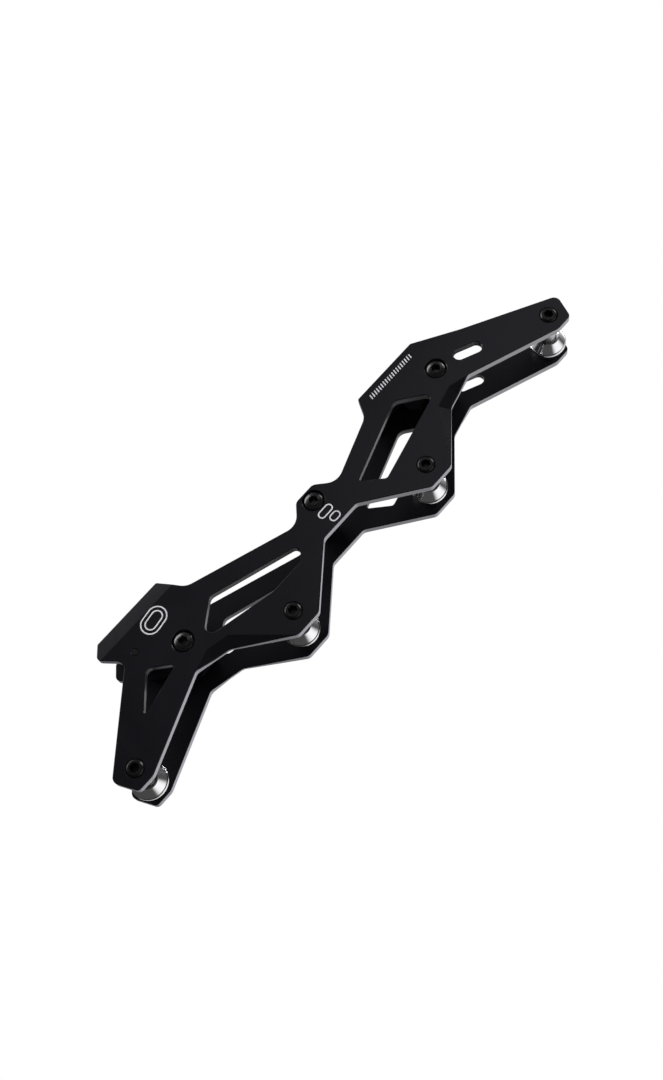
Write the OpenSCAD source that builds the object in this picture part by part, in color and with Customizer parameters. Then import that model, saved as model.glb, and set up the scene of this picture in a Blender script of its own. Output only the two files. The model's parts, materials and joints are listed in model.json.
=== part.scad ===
// Four-wheel inline skate frame: two truss plates bolted to mount blocks, with axles and bearing spacers.
// X points forward, Y to the left and Z up. The frame stands on the lowest edges of its plates, at Z = 0,
// and the origin lies under its middle. All lengths are in millimetres.

/* [Axles and wheels] */
// Distance between the rear and front axles
wheelbase = 283; // [279:1:295]
// Distance between the two middle axles
middle_base = 91; // [88:0.5:94]
// How far the middle axles sit below the end axles
middle_drop = 5; // [4:0.25:6]
// Height of the end axles above the lowest edges of the plates
axle_height = 14.5; // [14:0.25:16]
// Diameter of the axle shafts
axle_d = 8; // [6:0.5:9]
// How far an axle's head reaches past its shaft
axle_head_rim = 2.2; // [1.5:0.1:3]
// Height of an axle's head
axle_head_h = 2.4; // [2:0.1:3]
// How far an axle's tip stands proud of the right plate
axle_tip_h = 0.8; // [0.4:0.1:1.5]
// Width across the flats of the axle's key sockets
axle_key = 4; // [2.5:0.5:5]
// Depth of the axle's key sockets
axle_key_depth = 3; // [2:0.5:6]
// Diameter of the end wheels that the frame clears
end_wheel_d = 100; // [90:1:101]
// Diameter of the middle wheels that the frame clears
middle_wheel_d = 90; // [80:1:91]
// Gap kept between a tyre and the mount blocks
tyre_gap = 1.5; // [1:0.25:2]

/* [Side plates] */
// Thickness of a side plate
plate_t = 4; // [3.5:0.25:6]
// Width of the wheel channel between the plates
channel_w = 26; // [25:0.5:32]
// Height of the ring that keeps a hub off the plate
boss_h = 1; // [0.5:0.1:1.5]
// Wall of that ring around the axle
boss_wall = 2.4; // [1.5:0.1:3.5]
// Length of the flat foot under each middle axle
foot_flat = 13.4; // [10:0.2:16]
// Metal left beyond the end axles
arm_end = 10.9; // [9.5:0.1:13]
// Metal left below the end axles
arm_edge = 8.4; // [7:0.1:9]
// Width of the bevel above each arch, at its widest
relief_w = 5.4; // [4:0.2:6]
// Slope of the bevels above the arches
relief_tilt = 20; // [10:1:25]
// Height of the bevel along the top of the rear flange
flange_bevel_h = 7; // [4:0.5:9]
// Slope of the bevel along the top of the rear flange
flange_bevel_tilt = 8; // [4:1:12]
// Half width of the slotted window in the front arm
slot_r = 3; // [2:0.25:3.5]
// Distance between the centres of that window's two round ends
slot_run = 8.4; // [6:0.2:11]
// Chamfer around each axle hole
hole_chamfer = 0.3; // [0.2:0.1:1]

/* [Boot mounts] */
// Distance between the rear and front boot bolts
mount_spacing = 165; // [163:1:168]
// Distance of the front boot bolt ahead of the middle of the frame
front_mount_x = 71; // [69:0.5:73]
// Height of the front deck above the lowest edges of the plates
front_deck_h = 56.8; // [55.5:0.1:58]
// How much higher the rear deck is than the front one
heel_rise = 11.3; // [9:0.1:13]
// Length of the plates' top edges at each deck
deck_len = 38; // [36:0.5:40]
// How far each mount block stays back from the ends of those edges
deck_inset = 1.5; // [0.5:0.25:3]
// Thickness of each deck
deck_t = 5.5; // [4.5:0.25:6]
// Thickness of the mount blocks' two ears
ear_t = 3; // [2.5:0.25:5]
// Diameter of the boot bolts
boot_bolt_d = 6; // [5:0.5:7]
// Play of a boot bolt in its hole, on the diameter
boot_bolt_play = 0.5; // [0.2:0.1:1]

/* [Bolted stations] */
// Distance between the rear and front bolt stations
station_span = 174; // [171:1:177]
// Height of the bolt stations above the end axles
station_rise = 23.8; // [23:0.2:25]
// Diameter of the frame bolts
bolt_d = 6; // [5:0.5:6.5]
// How far a bolt's head reaches past its shank
bolt_head_rim = 2; // [1.5:0.25:2.5]
// Height of a bolt's head
bolt_head_h = 3; // [2.4:0.1:3.3]
// Width across the flats of a bolt's key socket
bolt_key = 4; // [3:0.5:4]
// Depth of a bolt's key socket
bolt_key_depth = 3.2; // [1.5:0.1:4]
// Depth of the seat that a bolt's head sinks into
bolt_seat = 2.4; // [1:0.1:2.6]
// Radial room round a bolt's head in its seat
bolt_seat_room = 0.2; // [0.1:0.05:0.4]
// Thread engaged behind the plate
bolt_grip = 9; // [6:0.5:10]
// Diameter of the middle spacer and of the blocks' cross bars
bar_d = 12; // [10.5:0.5:13]
// Diameter of the dowel pins
dowel_d = 3; // [2:0.25:4]
// Metal that the front dowels leave uncut in the plates
dowel_skin = 1.5; // [1:0.25:2]

/* [Bearing spacers] */
// Length of a bearing spacer
spacer_len = 10.3; // [8:0.1:12]
// Wall of a bearing spacer at its ends
spacer_wall = 1.1; // [0.8:0.1:2]
// Diameter of the collar
collar_d = 17.5; // [15:0.5:20]
// Thickness of the collar
collar_t = 1.4; // [1:0.1:4]
// Width of the flat step between the cone and the collar's rim
collar_lip = 0.6; // [0.3:0.1:1.2]

/* [Fits] */
// Radial clearance of the axles in the plates and of the spacers on the axles
running_gap = 0.05; // [0.02:0.01:0.1]
// Radial clearance of the bolts' shanks in the plates
bolt_gap = 0.2; // [0.1:0.05:0.4]
// Radial clearance of bolts in their threads and of dowels in their holes
seat_gap = 0.03; // [0.01:0.01:0.06]
// Gap under an axle's head, and between a bearing spacer and the ring it rests on
rest_gap = 0.05; // [0.02:0.01:0.2]

/* [Hidden] */

$fn = 72;
arc_steps = 8;
dome_steps = 7;
past = 1;
far_past = 60;

plate_black = [0.10, 0.10, 0.11];
block_black = [0.14, 0.14, 0.15];
bolt_black = [0.07, 0.07, 0.075];
turned_silver = [0.82, 0.82, 0.84];
steel_grey = [0.62, 0.62, 0.64];

// Places along the frame and up it
inner_y = channel_w / 2;
outer_y = inner_y + plate_t;
end_x = wheelbase / 2;
middle_x = middle_base / 2;
middle_z = axle_height - middle_drop;
station_x = station_span / 2;
station_z = axle_height + station_rise;
rear_mount_x = front_mount_x - mount_spacing;
rear_deck_h = front_deck_h + heel_rise;
half_deck = deck_len / 2;

rear_axle_at = [-end_x, axle_height];
second_axle_at = [-middle_x, middle_z];
third_axle_at = [middle_x, middle_z];
front_axle_at = [end_x, axle_height];
rear_station_at = [-station_x, station_z];
middle_station_at = [0, station_z];
front_station_at = [station_x, station_z];
rear_deck_at = [rear_mount_x, rear_deck_h];
front_deck_at = [front_mount_x, front_deck_h];
rear_dowel_at = rear_deck_at + [-10.5, -16.3];
front_dowel_at = front_deck_at + [5, -8.5];

axle_r = axle_d / 2;
axle_hole_r = axle_r + running_gap;
boss_r = axle_hole_r + boss_wall;
bolt_r = bolt_d / 2;
bolt_head_r = bolt_r + bolt_head_rim;
dowel_r = dowel_d / 2;
rear_dowel_len = plate_t + ear_t;
front_dowel_len = rear_dowel_len - dowel_skin;

// Corners of the plate outline, each as x, z and corner radius. These lists are offsets from the place named.
// From an end axle, outwards: the arm's end, its lower corner and the start of the arch
arm_top_corner = [arm_end, 3.4, 3.5];
arm_low_corner = [5.8, -arm_edge, 2.5];
arm_heel_corner = [-3, -arm_edge, 6];
// From a station, outwards, above the end axles: the arch's peak and its shoulder
arch_peak = [6.5, 9.6, 4];
arch_shoulder = [-11, 5.3, 6];
// From the middle, above the end axles: the middle arch
middle_arch = [11, 7.4, 4];
foot_corner_r = 4;
// From the front deck's front and rear corners
arm_bend = [20.5, -13.8, 20];
front_deck_foot = [-5.3, -8.9, 8];
// From the rear deck's front and rear corners
rear_deck_foot = [7.5, -12.6, 8];
flange_tip = [-5.6, -5.6, 2.5];
flange_neck = [2.4, -16, 4];
deck_corner_r = 1.2;
// From the middle station: the lobe, with the metal it leaves over the bolt's seat, and the valley beside it
lobe_wall = 0.6;
lobe_corner = [5.7, bolt_head_r + bolt_seat_room + lobe_wall, 4];
lobe_valley = [14, -2.4, 8];
// From a middle axle, outwards: the long windows beside it
rear_window = [[36, 22.15, 3.5], [-1.2, 13.2, 3], [-19.6, 13.2, 1.5], [-25.5, 19, 3], [18.8, 34.15, 4]];
front_window = [[31, 21, 2.5], [-16, 9.6, 2], [-25.5, 19, 1.2], [16, 33.2, 5]];
// From the rear station: the window in the rear arm
arm_window = [[-36.9, -11.4, 1], [-10, -4.8, 1], [-19.9, 4.3, 3.5]];
// From the front station: the middle of the slotted window, and its tilt
slot_middle = [16.5, -5.7];
slot_tilt = -26;
// Slopes of the ends of the bevel above an arch
relief_start = 17;
relief_finish = 51;
// Margins of the mount blocks' ears around a dowel and a station
dowel_margin = 3.5;
station_margin = 7;
station_taper = 1;
ear_corner_r = 3;
ear_inner_r = 1.5;
deck_top_r = 0.5;
deck_under_r = 1;
// Thread cut past the end of a bolt
thread_run_out = 1;
// Share of a head's height that its straight rim takes
rim_share = 0.25;
// Share of an edge that one rounded corner may use
edge_share = 0.49;

// Arc points that round the corner c = [x, z, r] between its neighbours a and b. The radius gives way
// where the straight edges beside it are too short for it.
function corner_arc(a, c, b) =
    let (
        tip = [c[0], c[1]],
        to_a = [a[0], a[1]] - tip,
        to_b = [b[0], b[1]] - tip,
        u = to_a / norm(to_a),
        v = to_b / norm(to_b),
        half = acos(u * v) / 2,
        r = min(c[2], tan(half) * min(norm(to_a), norm(to_b)) * edge_share),
        hub = tip + (u + v) / norm(u + v) * r / sin(half),
        from = tip + u * r / tan(half) - hub,
        to = tip + v * r / tan(half) - hub,
        start = atan2(from[1], from[0]),
        sweep = (atan2(to[1], to[0]) - start + 540) % 360 - 180
    )
    [
        for (i = [0:arc_steps])
            let (turn = start + sweep * i / arc_steps)
            hub + r * [cos(turn), sin(turn)]
    ];

function rounded(pts) =
    let (n = len(pts))
    [for (i = [0:n - 1]) each corner_arc(pts[(i + n - 1) % n], pts[i], pts[(i + 1) % n])];

function reversed(pts) = [for (i = [len(pts) - 1:-1:0]) pts[i]];

// A corner given as an offset from a place, turned outwards for the rear (side = -1) or front (side = 1)
function corner(at, offset, side = 1) = [side * (at[0] + offset[0]), at[1] + offset[1], offset[2]];

// Lower edge of one half of a plate, from the arm's end to the middle
function lower_edge(side) = [
    corner([end_x, axle_height], arm_top_corner, side),
    corner([end_x, axle_height], arm_low_corner, side),
    corner([end_x, axle_height], arm_heel_corner, side),
    corner([station_x, axle_height], arch_peak, side),
    corner([station_x, axle_height], arch_shoulder, side),
    [side * (middle_x + foot_flat / 2), 0, foot_corner_r],
    [side * (middle_x - foot_flat / 2), 0, foot_corner_r],
    corner([0, axle_height], middle_arch, side)
];

// Upper edge of a plate, from the front arm to the rear arm
upper_edge = [
    corner(front_deck_at + [half_deck, 0], arm_bend),
    corner(front_deck_at + [half_deck, 0], [0, 0, deck_corner_r]),
    corner(front_deck_at - [half_deck, 0], [0, 0, deck_corner_r]),
    corner(front_deck_at - [half_deck, 0], front_deck_foot),
    corner(middle_station_at, lobe_valley),
    corner(middle_station_at, lobe_corner),
    corner(middle_station_at, lobe_corner, -1),
    corner(middle_station_at, lobe_valley, -1),
    corner(rear_deck_at + [half_deck, 0], rear_deck_foot),
    corner(rear_deck_at + [half_deck, 0], [0, 0, deck_corner_r]),
    corner(rear_deck_at - [half_deck, 0], [0, 0, deck_corner_r]),
    corner(rear_deck_at - [half_deck, 0], flange_tip),
    corner(rear_deck_at - [half_deck, 0], flange_neck)
];

plate_outline = concat(lower_edge(-1), reversed(lower_edge(1)), upper_edge);

// A flat shape drawn in X and Z, made thick in Y from y upwards
module slab(y, thick) {
    translate([0, y + thick, 0])
        rotate([90, 0, 0])
            linear_extrude(thick)
                children();
}

// A round bar along Y through the point at = [x, z], from y upwards
module cross_bar(at, y, length, r) {
    translate([at[0], y, at[1]])
        rotate([-90, 0, 0])
            cylinder(h = length, r = r);
}

// The metal outside a plane that slopes into the outer face of the right plate. The plane starts at a line
// through at = [x, z], which climbs at angle, and removes what lies below the line (down = 1) or above it.
module face_cut(at, angle, tilt, down = 1, back = far_past) {
    translate([at[0], -outer_y, at[1]])
        rotate([0, -angle, 0])
            rotate([down * tilt, 0, 0])
                translate([-back, -far_past, down > 0 ? -far_past : 0])
                    cube([back + far_past, far_past, far_past]);
}

// Bevel on the outer face above the rear arch of the right plate
module arch_bevel() {
    peak = corner([station_x, axle_height], arch_peak, -1);
    shoulder = corner([station_x, axle_height], arch_shoulder, -1);
    foot = [-middle_x - foot_flat / 2, 0];
    run = [shoulder[0] - peak[0], shoulder[1] - peak[1]];
    fall = atan2(run[1], run[0]);
    intersection() {
        face_cut(peak, relief_start, relief_tilt, back = 0);
        face_cut([peak[0], peak[1]] + relief_w * [-sin(fall), cos(fall)], fall, relief_tilt);
        face_cut(foot, -relief_finish, relief_tilt);
    }
}

module slot_window() {
    translate(front_station_at + slot_middle)
        rotate(slot_tilt) {
            square([slot_run, 2 * slot_r], center = true);
            for (end = [-1, 1])
                translate([end * slot_run / 2, 0])
                    circle(r = slot_r);
        }
}

module windows() {
    polygon(rounded([for (c = rear_window) corner([middle_x, middle_z], c, -1)]));
    polygon(rounded([for (c = front_window) corner([middle_x, middle_z], c)]));
    polygon(rounded([for (c = arm_window) corner(rear_station_at, c)]));
    slot_window();
}

// The right plate, with its outer face towards -Y
module side_plate() {
    axles = [rear_axle_at, second_axle_at, third_axle_at, front_axle_at];
    difference() {
        union() {
            slab(-outer_y, plate_t)
                difference() {
                    polygon(rounded(plate_outline));
                    windows();
                }
            for (at = axles)
                cross_bar(at, -inner_y - plate_t / 2, plate_t / 2 + boss_h, boss_r);
        }
        for (at = axles) {
            cross_bar(at, -outer_y - past, plate_t + boss_h + 2 * past, axle_hole_r);
            translate([at[0], -outer_y, at[1]])
                rotate([-90, 0, 0])
                    translate([0, 0, -hole_chamfer])
                        cylinder(h = 2 * hole_chamfer, r1 = axle_hole_r + 2 * hole_chamfer, r2 = axle_hole_r);
        }
        for (at = [rear_station_at, middle_station_at, front_station_at]) {
            cross_bar(at, -outer_y - past, plate_t + 2 * past, bolt_r + bolt_gap);
            cross_bar(at, -outer_y - past, past + bolt_seat, bolt_head_r + bolt_seat_room);
        }
        cross_bar(rear_dowel_at, -outer_y - past, plate_t + 2 * past, dowel_r + seat_gap);
        cross_bar(front_dowel_at, -outer_y + dowel_skin, plate_t - dowel_skin + past, dowel_r + seat_gap);
        arch_bevel();
        mirror([1, 0, 0]) arch_bevel();
        face_cut(rear_deck_at - [0, flange_bevel_h], 0, flange_bevel_tilt, down = -1);
    }
}

module right_side_plate() {
    color(plate_black) side_plate();
}

module left_side_plate() {
    color(plate_black) mirror([0, 1, 0]) side_plate();
}

// One ear of a mount block: from the deck's end, round the dowel and the station, and back up
function ear_outline(deck, dowel, station) = [
    [deck[0] - half_deck + deck_inset, deck[1], deck_top_r],
    [deck[0] - half_deck + deck_inset, deck[1] - deck_t, deck_under_r],
    [dowel[0] - dowel_margin, deck[1] - deck_t, ear_inner_r],
    [dowel[0] - dowel_margin, dowel[1] - dowel_margin, ear_corner_r],
    [station[0] - station_margin, station[1], ear_corner_r],
    [station[0] - station_margin + station_taper, station[1] - station_margin, ear_corner_r],
    [station[0] + station_margin - station_taper, station[1] - station_margin, ear_corner_r],
    [station[0] + station_margin, station[1], ear_corner_r],
    [station[0] + station_margin, deck[1] - deck_t, ear_inner_r],
    [deck[0] + half_deck - deck_inset, deck[1] - deck_t, deck_under_r],
    [deck[0] + half_deck - deck_inset, deck[1], deck_top_r]
];

// Threaded holes for the bolts in both ends of a bar or block
module bolt_threads(station) {
    for (side = [0, 1])
        mirror([0, side, 0])
            cross_bar(station, -inner_y - past, past + bolt_grip + thread_run_out, bolt_r + seat_gap);
}

module mount_block(deck, dowel, station) {
    tyre_room = channel_w - 2 * ear_t;
    difference() {
        union() {
            translate([deck[0] - half_deck + deck_inset, -inner_y, deck[1] - deck_t])
                cube([deck_len - 2 * deck_inset, channel_w, deck_t]);
            for (y = [-inner_y, inner_y - ear_t])
                slab(y, ear_t) polygon(rounded(ear_outline(deck, dowel, station)));
            cross_bar(station, -inner_y, channel_w, bar_d / 2);
        }
        for (at = [rear_axle_at, front_axle_at])
            cross_bar(at, -tyre_room / 2, tyre_room, end_wheel_d / 2 + tyre_gap);
        for (at = [second_axle_at, third_axle_at])
            cross_bar(at, -tyre_room / 2, tyre_room, middle_wheel_d / 2 + tyre_gap);
        bolt_threads(station);
        cross_bar(dowel, -inner_y - past, channel_w + 2 * past, dowel_r + seat_gap);
        translate([deck[0], 0, deck[1] - deck_t - past])
            cylinder(h = deck_t + 2 * past, d = boot_bolt_d + boot_bolt_play);
    }
}

module rear_mount_block() {
    color(block_black) mount_block(rear_deck_at, rear_dowel_at, rear_station_at);
}

module front_mount_block() {
    color(block_black) mount_block(front_deck_at, front_dowel_at, front_station_at);
}

module middle_spacer() {
    color(block_black)
        difference() {
            cross_bar(middle_station_at, -inner_y, channel_w, bar_d / 2);
            bolt_threads(middle_station_at);
        }
}

// A low dome that stands on Z = 0, with a straight rim
module dome(r, h) {
    rim_h = h * rim_share;
    rotate_extrude()
        polygon(concat(
            [[0, 0], [r, 0]],
            [
                for (i = [0:dome_steps])
                    let (a = 90 * i / dome_steps)
                    [r * cos(a), rim_h + (h - rim_h) * sin(a)]
            ]
        ));
}

// A key socket cut down from Z = 0
module key_socket(key, depth) {
    translate([0, 0, -depth])
        cylinder(h = depth + past, d = key / cos(30), $fn = 6);
}

// A frame bolt, with its head towards -Y and sunk into the outer face of the right plate
module right_bolt(station) {
    reach = plate_t - bolt_seat + bolt_grip;
    color(bolt_black)
        translate([station[0], bolt_seat - outer_y, station[1]])
            rotate([90, 0, 0])
                difference() {
                    union() {
                        dome(bolt_head_r, bolt_head_h);
                        translate([0, 0, -reach])
                            cylinder(h = reach + bolt_head_h * rim_share, r = bolt_r);
                    }
                    translate([0, 0, bolt_head_h])
                        key_socket(bolt_key, bolt_key_depth);
                }
}

module left_bolt(station) {
    mirror([0, 1, 0]) right_bolt(station);
}

module rear_right_bolt() { right_bolt(rear_station_at); }
module rear_left_bolt() { left_bolt(rear_station_at); }
module middle_right_bolt() { right_bolt(middle_station_at); }
module middle_left_bolt() { left_bolt(middle_station_at); }
module front_right_bolt() { right_bolt(front_station_at); }
module front_left_bolt() { left_bolt(front_station_at); }

// A dowel that reaches through the block's ear and, for its length, into the right plate
module right_dowel(at, length) {
    color(steel_grey) cross_bar(at, -inner_y + ear_t - length, length, dowel_r);
}

module left_dowel(at, length) {
    mirror([0, 1, 0]) right_dowel(at, length);
}

module rear_right_dowel() { right_dowel(rear_dowel_at, rear_dowel_len); }
module rear_left_dowel() { left_dowel(rear_dowel_at, rear_dowel_len); }
module front_right_dowel() { right_dowel(front_dowel_at, front_dowel_len); }
module front_left_dowel() { left_dowel(front_dowel_at, front_dowel_len); }

// An axle, with its head outside the left plate and its tip in the right one
module axle(at) {
    tip_y = -outer_y - axle_tip_h;
    head_y = outer_y + rest_gap;
    color(steel_grey)
        translate([at[0], 0, at[1]])
            rotate([-90, 0, 0])
                difference() {
                    union() {
                        translate([0, 0, tip_y])
                            cylinder(h = axle_tip_h, r1 = axle_r - axle_tip_h, r2 = axle_r);
                        translate([0, 0, -outer_y])
                            cylinder(h = outer_y + head_y + axle_head_h * rim_share, r = axle_r);
                        translate([0, 0, head_y])
                            dome(axle_r + axle_head_rim, axle_head_h);
                    }
                    translate([0, 0, head_y + axle_head_h])
                        key_socket(axle_key, axle_key_depth);
                    translate([0, 0, tip_y])
                        mirror([0, 0, 1])
                            key_socket(axle_key, axle_key_depth);
                }
}

module rear_axle() { axle(rear_axle_at); }
module second_axle() { axle(second_axle_at); }
module third_axle() { axle(third_axle_at); }
module front_axle() { axle(front_axle_at); }

// A loose double cone with a thin collar, resting against the left plate's ring
module bearing_spacer(at) {
    half_len = spacer_len / 2;
    end_r = axle_hole_r + spacer_wall;
    half = [
        [end_r, half_len],
        [collar_d / 2 - collar_lip, collar_t / 2],
        [collar_d / 2, collar_t / 2]
    ];
    low_half = [for (p = reversed(half)) [p[0], -p[1]]];
    color(turned_silver)
        translate([at[0], inner_y - boss_h - rest_gap - half_len, at[1]])
            rotate([-90, 0, 0])
                rotate_extrude()
                    polygon(concat([[axle_hole_r, -half_len], [axle_hole_r, half_len]], half, low_half));
}

module rear_bearing_spacer() { bearing_spacer(rear_axle_at); }
module second_bearing_spacer() { bearing_spacer(second_axle_at); }
module third_bearing_spacer() { bearing_spacer(third_axle_at); }
module front_bearing_spacer() { bearing_spacer(front_axle_at); }

right_side_plate();
left_side_plate();
rear_mount_block();
front_mount_block();
middle_spacer();
rear_right_bolt();
rear_left_bolt();
middle_right_bolt();
middle_left_bolt();
front_right_bolt();
front_left_bolt();
rear_right_dowel();
rear_left_dowel();
front_right_dowel();
front_left_dowel();
rear_axle();
second_axle();
third_axle();
front_axle();
rear_bearing_spacer();
second_bearing_spacer();
third_bearing_spacer();
front_bearing_spacer();
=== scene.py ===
import json
import math

import bpy
from bpy.props import FloatProperty, FloatVectorProperty, PointerProperty
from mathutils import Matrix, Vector

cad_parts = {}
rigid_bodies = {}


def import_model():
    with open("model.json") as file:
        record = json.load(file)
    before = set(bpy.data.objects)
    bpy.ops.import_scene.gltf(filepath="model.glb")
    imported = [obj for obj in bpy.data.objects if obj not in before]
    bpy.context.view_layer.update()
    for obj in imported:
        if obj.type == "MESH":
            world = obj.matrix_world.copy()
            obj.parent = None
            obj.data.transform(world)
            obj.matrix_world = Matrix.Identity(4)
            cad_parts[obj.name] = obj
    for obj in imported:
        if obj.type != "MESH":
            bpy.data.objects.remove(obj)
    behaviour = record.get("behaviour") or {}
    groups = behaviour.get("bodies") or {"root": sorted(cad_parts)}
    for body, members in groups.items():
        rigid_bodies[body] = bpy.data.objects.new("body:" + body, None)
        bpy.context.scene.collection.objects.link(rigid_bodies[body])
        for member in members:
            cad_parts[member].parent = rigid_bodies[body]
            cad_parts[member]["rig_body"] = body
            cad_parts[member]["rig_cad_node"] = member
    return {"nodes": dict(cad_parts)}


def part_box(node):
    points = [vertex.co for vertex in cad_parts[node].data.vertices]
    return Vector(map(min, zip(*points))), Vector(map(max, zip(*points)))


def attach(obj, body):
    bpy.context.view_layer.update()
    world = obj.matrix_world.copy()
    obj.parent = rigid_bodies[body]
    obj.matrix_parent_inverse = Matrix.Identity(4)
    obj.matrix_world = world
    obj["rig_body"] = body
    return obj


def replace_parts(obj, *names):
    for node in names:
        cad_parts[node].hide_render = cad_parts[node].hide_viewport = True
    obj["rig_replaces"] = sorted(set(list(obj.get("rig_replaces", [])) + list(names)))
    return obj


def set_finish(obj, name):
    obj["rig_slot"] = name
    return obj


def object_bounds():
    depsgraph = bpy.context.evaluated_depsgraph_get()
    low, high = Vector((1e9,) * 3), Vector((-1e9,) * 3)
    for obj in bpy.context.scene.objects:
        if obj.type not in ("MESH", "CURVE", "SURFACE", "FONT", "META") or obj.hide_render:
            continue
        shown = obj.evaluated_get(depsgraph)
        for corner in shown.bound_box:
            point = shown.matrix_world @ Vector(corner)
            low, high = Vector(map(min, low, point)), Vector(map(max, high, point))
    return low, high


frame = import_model()
CAD_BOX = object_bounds()

bl_info = {
    "name": "Inline Skate Frame",
    "version": (1, 0, 0),
    "blender": (4, 5, 0),
    "location": "View3D > Sidebar > Skate Frame",
    "description": "Finishes, edge breaks and marks for a four-wheel inline skate frame",
    "category": "Object",
}

MM = 0.001
SIDES = ("right", "left")
STATIONS = ("rear", "middle", "front")
WHEELS = ("rear", "second", "third", "front")
# Face mark of the bare cut edges; its lower value on the windows' walls darkens them as painted shade
CUT_EDGE_AND_WINDOW_SHADE = "cut_edge"

# Mesh limits: corners that count as one, turns that count as flat, as a fold, as an edge and as a curve
SAME_CORNER = 0.002 * MM
SPACER_SAME_CORNER = 0.001 * MM
FLAT_TURN = math.radians(0.4)
FOLD_TURN = math.radians(2)
EDGE_TURN = math.radians(38)
CURVE_TURN = math.radians(30)
SPACER_CURVE_TURN = math.radians(15)
WIDE_FACE = 8 * MM * MM
SPACER_STEPS = 96

# Surfaces: roughness where a pattern is 0 and where it is 1, metallic under a mask's reach and beyond it,
# gloss, and strength and depth of the fine relief
OUTER_ROUGH = (0.27, 0.33)
INNER_ROUGH = (0.45, 0.55)
BARE_ROUGH = (0.46, 0.36)
OXIDE_ROUGH = (0.20, 0.30)
DOWEL_ROUGH = (0.45, 0.60)
SHAFT_ROUGH = (0.26, 0.16)
SHAFT_END_ROUGH = (0.36, 0.26)
SPACER_ROUGH = (0.22, 0.14)
INK_ROUGH = (0.45, 0.60)
FLOOR_ROUGH = 0.7
ANODISED_METALLIC = (0.45, 0.0)
AXLE_METALLIC = (1.0, 0.3)
ANODISED_GLOSS = 0.3
ANODISED_TINT = (0.92, 0.90, 1.0, 1.0)
OXIDE_GLOSS = 0.5
DOWEL_GLOSS = 0.12
SHAFT_GLOSS = 0.36
ANODISED_RELIEF = 0.25
STEEL_RELIEF = 0.15
SPACER_RELIEF = 0.06
INK_RELIEF = 0.1
RELIEF_DEPTH = 0.02 * MM
INK_DEPTH = 0.01 * MM
MASK_BLUR = 0.1 * MM

# Patterns, as counts per metre
PLATE_CLOUDS = 26.0
STEEL_GRAINS, BOLT_CLOUDS, DOWEL_CLOUDS = 3600.0, 420.0, 500.0
INK_GRAINS, INK_CLOUDS = 4200.0, 700.0
FLOOR_GRAINS, FLOOR_CLOUDS = 900.0, 3.0
TURNED_RINGS = 3800.0

# Marks on the right plate, as places along X and Z, and the share of a ring's radius that is its middle
FLANGE_LINK = (-88.5 * MM, 55.6 * MM)
FLANGE_LINK_RADII = (4.9 * MM, 2.9 * MM)
FLANGE_LINK_STRETCH = 4.6 * MM
FLANGE_LINK_TILT = math.radians(-8)
MIDDLE_LINK_RADIUS = 2.0 * MM
MIDDLE_LINKS = ((-0.6 * MM, 30.3 * MM, 4.4 * MM), (0.4 * MM, 25.3 * MM, 1.8 * MM))
RING_CORNERS = 48
RING_MIDDLE = 0.01
STROKES_PLACE = (56.5 * MM, 51.2 * MM)
STROKES_COUNT = 19
STROKES_SLANT = 0.6 * MM

# Floor, camera and lamps, and the cosines of the angles where each glow of the surround starts and is full
FLOOR_GAP = 0.2 * MM
FLOOR_DIMMING = 0.97
SENSOR_WIDTH = 36.0
CAMERA_CLIP = (0.01, 20.0)
LAMP_AIM = Vector((0, 0, 0.03))
KEY_PLACE, KEY_SIZE = (1.62, -2.70, 0.90), (2.7, 0.75)
TOP_PLACE, TOP_SIZE = (-0.36, -1.14, 3.0), (3.0, 1.05)
SKY_CONE = (0.56, 0.95)
TOP_CONE = (0.5, 0.95)
GLOW_CONE = (0.968, 0.988)
LOW_CONE = (0.72, 0.99)


# Sizes and colours


class PlateSettings(bpy.types.PropertyGroup):
    """Finish of the side plates and of what is bolted between them."""

    edge_break: FloatProperty(
        name="Edge break", description="Width of the chamfer along the plates' edges",
        default=0.3 * MM, min=0.05 * MM, max=1 * MM, unit="LENGTH", precision=5)
    block_edge_break: FloatProperty(
        name="Block edge break", description="Width of the chamfer along the blocks' edges",
        default=0.2 * MM, min=0.05 * MM, max=1 * MM, unit="LENGTH", precision=5)
    black: FloatVectorProperty(
        name="Anodised black", description="Darker tone of the anodised faces",
        default=(0.0026, 0.0025, 0.0040), min=0, max=1, size=3, subtype="COLOR")
    charcoal: FloatVectorProperty(
        name="Anodised charcoal", description="Lighter tone of the anodised faces",
        default=(0.0042, 0.0040, 0.0062), min=0, max=1, size=3, subtype="COLOR")
    bare: FloatVectorProperty(
        name="Bare metal", description="Colour of the machined edges",
        default=(0.46, 0.46, 0.474), min=0, max=1, size=3, subtype="COLOR")
    bare_dull: FloatVectorProperty(
        name="Bare metal, duller", description="Colour of the machined edges between the cutter's lines",
        default=(0.35, 0.35, 0.361), min=0, max=1, size=3, subtype="COLOR")
    flat_share: FloatProperty(
        name="Flat share", description="How squarely a face that keeps its anodising looks along Y",
        default=0.5, min=0.1, max=1)
    bore_reach: FloatProperty(
        name="Bore reach", description="How far from a bore's axis its rim keeps its anodising",
        default=5.6 * MM, min=1 * MM, max=8 * MM, unit="LENGTH", precision=5)
    # A low share keeps the windows' walls near the anodised black instead of bare metal: painted shade, not a
    # real finish
    window_shade_share: FloatProperty(
        name="Window share", description="How bare the windows' walls are, beside the outer edges",
        default=0.1, min=0, max=1, subtype="FACTOR")
    outer_reach: FloatProperty(
        name="Outer reach", description="How far from the middle plane the smoother outer faces begin",
        default=14 * MM, min=5 * MM, max=20 * MM, unit="LENGTH", precision=5)
    grain: FloatProperty(
        name="Grain", description="Grains per metre in the blasted faces",
        default=5200, min=500, max=20000)


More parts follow.
